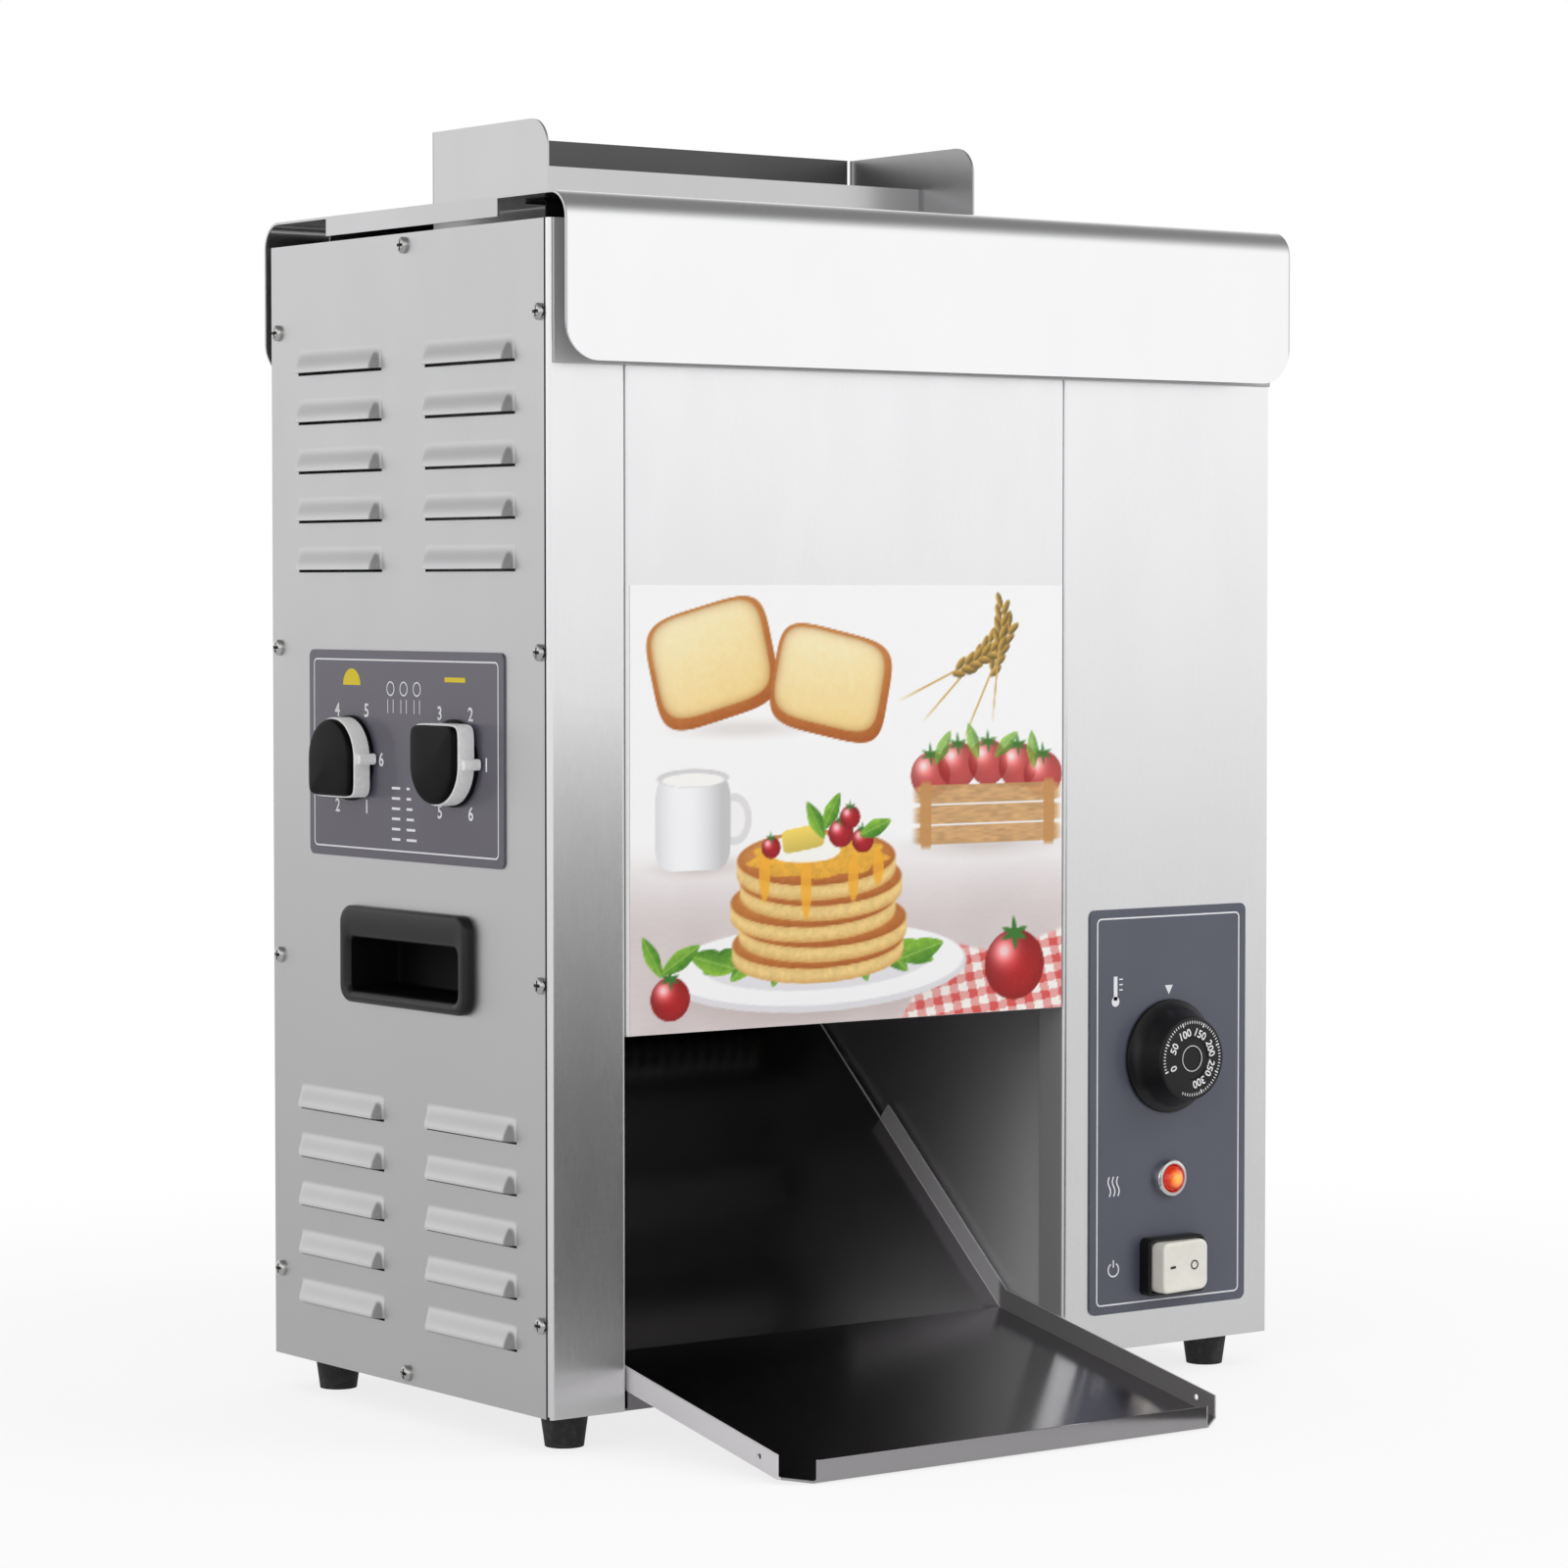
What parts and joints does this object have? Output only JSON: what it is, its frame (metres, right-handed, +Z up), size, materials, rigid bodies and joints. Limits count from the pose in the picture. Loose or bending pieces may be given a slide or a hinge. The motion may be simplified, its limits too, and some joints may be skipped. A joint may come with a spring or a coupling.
{
  "type": "conveyor bun toaster",
  "caption": "Upright conveyor bun toaster: halves drop in at the top, ribbed belts carry them past a heated platen and they slide out on a front landing tray; geared drive, adjustable pressure.",
  "frame": {"origin": "centre of the overall box's underside, on the surface the feet stand on", "axes": "+Z up, +X to the right as seen by the operator, -Y towards the operator, where the landing tray stands out"},
  "size_m": [0.4914, 0.406, 0.659],
  "materials": {
    "satin_steel": "satin",
    "inner_steel": "satin",
    "printed_plate": "satin",
    "printed_sheet": "matte",
    "black_plastic": "satin",
    "cream_plastic": "gloss",
    "amber_lens": "gloss",
    "chrome": "polished",
    "rubber": "matte",
    "zinc_screws": "satin",
    "cast_aluminium": "cast",
    "element_sheath": "dull",
    "belt_wire": "satin",
    "bronze": "satin",
    "gear_steel": "machined",
    "motor_paint": "satin",
    "terminal_plastic": "matte"
  },
  "bodies": {
    "frame": {"hood": "satin_steel", "front_header": "satin_steel", "left_front_column": "satin_steel", "right_front_column": "satin_steel", "front_panel": "satin_steel", "left_side_panel": "satin_steel", "right_side_panel": "satin_steel", "base_pan": "inner_steel", "back_panel": "inner_steel", "top_deck": "inner_steel", "hood_rails": "inner_steel", "left_bulkhead": "inner_steel", "right_bulkhead": "inner_steel", "motor_bracket": "inner_steel", "chute_rod": "inner_steel", "left_control_plate": "printed_plate", "front_control_plate": "printed_plate", "graphic_sheet": "printed_sheet", "left_carry_handle": "black_plastic", "right_carry_handle": "black_plastic", "switch_housing": "black_plastic", "cord_gland": "black_plastic", "lamp_lens": "amber_lens", "lamp_bezel": "chrome", "feet": "rubber", "left_panel_screws": "zinc_screws", "right_panel_screws": "zinc_screws", "foot_nuts": "zinc_screws", "platen_bolts": "zinc_screws", "platen": "cast_aluminium", "heating_elements": "element_sheath", "heel_belt": "belt_wire", "crown_belt": "belt_wire", "shaft_bushes": "bronze", "idler_pins": "gear_steel", "gear_motor": "motor_paint", "terminal_block": "terminal_plastic", "thermostat_body": "terminal_plastic"},
    "heel_knob": {"heel_knob": "black_plastic", "heel_cam": "gear_steel"},
    "crown_knob": {"crown_knob": "black_plastic", "crown_cam": "gear_steel"},
    "heel_plate": {"heel_pressure_plate": "inner_steel"},
    "crown_plate": {"crown_pressure_plate": "inner_steel"},
    "thermostat_dial": {"thermostat_dial": "black_plastic"},
    "power_rocker": {"switch_rocker": "cream_plastic"},
    "landing_tray": {"landing_tray": "satin_steel"},
    "bun_feeder": {"bun_feeder": "satin_steel"},
    "heel_drive": {"heel_drive_shaft": "gear_steel", "heel_drive_gear": "gear_steel"},
    "crown_drive": {"crown_drive_shaft": "gear_steel", "crown_drive_gear": "gear_steel"},
    "heel_idler": {"heel_idler_shaft": "gear_steel"},
    "crown_idler": {"crown_idler_shaft": "gear_steel"},
    "front_idler": {"front_idler_gear": "gear_steel"},
    "rear_idler": {"rear_idler_gear": "gear_steel"},
    "motor_pinion": {"motor_pinion": "gear_steel", "motor_shaft": "gear_steel"}
  },
  "joints": [
    {"name": "heel_plate_slide", "type": "slide", "parent": "frame", "child": "heel_plate", "axis": [0, 1, 0], "range_m": [0, 0.01]},
    {"name": "crown_plate_slide", "type": "slide", "parent": "frame", "child": "crown_plate", "axis": [0, 1, 0], "range_m": [0, 0.01]},
    {"name": "heel_knob_turn", "type": "hinge", "parent": "frame", "child": "heel_knob", "pos_m": [-0.23, 0.014, 0.336], "axis": [-1, 0, 0], "range_deg": [0, 300]},
    {"name": "crown_knob_turn", "type": "hinge", "parent": "frame", "child": "crown_knob", "pos_m": [-0.23, 0.112, 0.336], "axis": [-1, 0, 0], "range_deg": [0, 300]},
    {"name": "thermostat_dial_turn", "type": "hinge", "parent": "frame", "child": "thermostat_dial", "pos_m": [0.16775, -0.08, 0.173], "axis": [0, -1, 0], "range_deg": [0, 290]},
    {"name": "power_rocker_tilt", "type": "hinge", "parent": "frame", "child": "power_rocker", "pos_m": [0.16775, -0.0745, 0.061], "axis": [0, 0, -1], "range_deg": [0, 14]},
    {"name": "tray_slide", "type": "slide", "parent": "frame", "child": "landing_tray", "axis": [0, -1, 0], "range_m": [0, 0.25]},
    {"name": "feeder_lift", "type": "slide", "parent": "frame", "child": "bun_feeder", "axis": [0, 0, 1], "range_m": [0, 0.08]},
    {"name": "heel_drive_turn", "type": "hinge", "parent": "frame", "child": "heel_drive", "pos_m": [0, -0.017, 0.243], "axis": [-1, 0, 0], "continuous": true},
    {"name": "crown_drive_turn", "type": "hinge", "parent": "frame", "child": "crown_drive", "pos_m": [0, 0.133, 0.243], "axis": [-1, 0, 0], "continuous": true},
    {"name": "front_idler_turn", "type": "hinge", "parent": "frame", "child": "front_idler", "pos_m": [0.11, 0.033, 0.243], "axis": [-1, 0, 0], "continuous": true},
    {"name": "rear_idler_turn", "type": "hinge", "parent": "frame", "child": "rear_idler", "pos_m": [0.11, 0.083, 0.243], "axis": [-1, 0, 0], "continuous": true},
    {"name": "pinion_turn", "type": "hinge", "parent": "frame", "child": "motor_pinion", "pos_m": [0.11, 0.0357, 0.20008], "axis": [-1, 0, 0], "continuous": true},
    {"name": "heel_idler_turn", "type": "hinge", "parent": "frame", "child": "heel_idler", "pos_m": [0, -0.017, 0.548], "axis": [-1, 0, 0], "continuous": true},
    {"name": "crown_idler_turn", "type": "hinge", "parent": "frame", "child": "crown_idler", "pos_m": [0, 0.133, 0.548], "axis": [-1, 0, 0], "continuous": true}
  ],
  "couplings": [
    {"joint": "heel_knob_turn", "follows": "heel_plate_slide", "rad_per_m": 523.6},
    {"joint": "crown_knob_turn", "follows": "crown_plate_slide", "rad_per_m": 523.6},
    {"joint": "front_idler_turn", "follows": "heel_drive_turn", "ratio": -1},
    {"joint": "rear_idler_turn", "follows": "heel_drive_turn", "ratio": 1},
    {"joint": "crown_drive_turn", "follows": "heel_drive_turn", "ratio": -1},
    {"joint": "pinion_turn", "follows": "heel_drive_turn", "ratio": 1.3889},
    {"joint": "heel_idler_turn", "follows": "heel_drive_turn", "ratio": 1},
    {"joint": "crown_idler_turn", "follows": "heel_drive_turn", "ratio": -1}
  ]
}
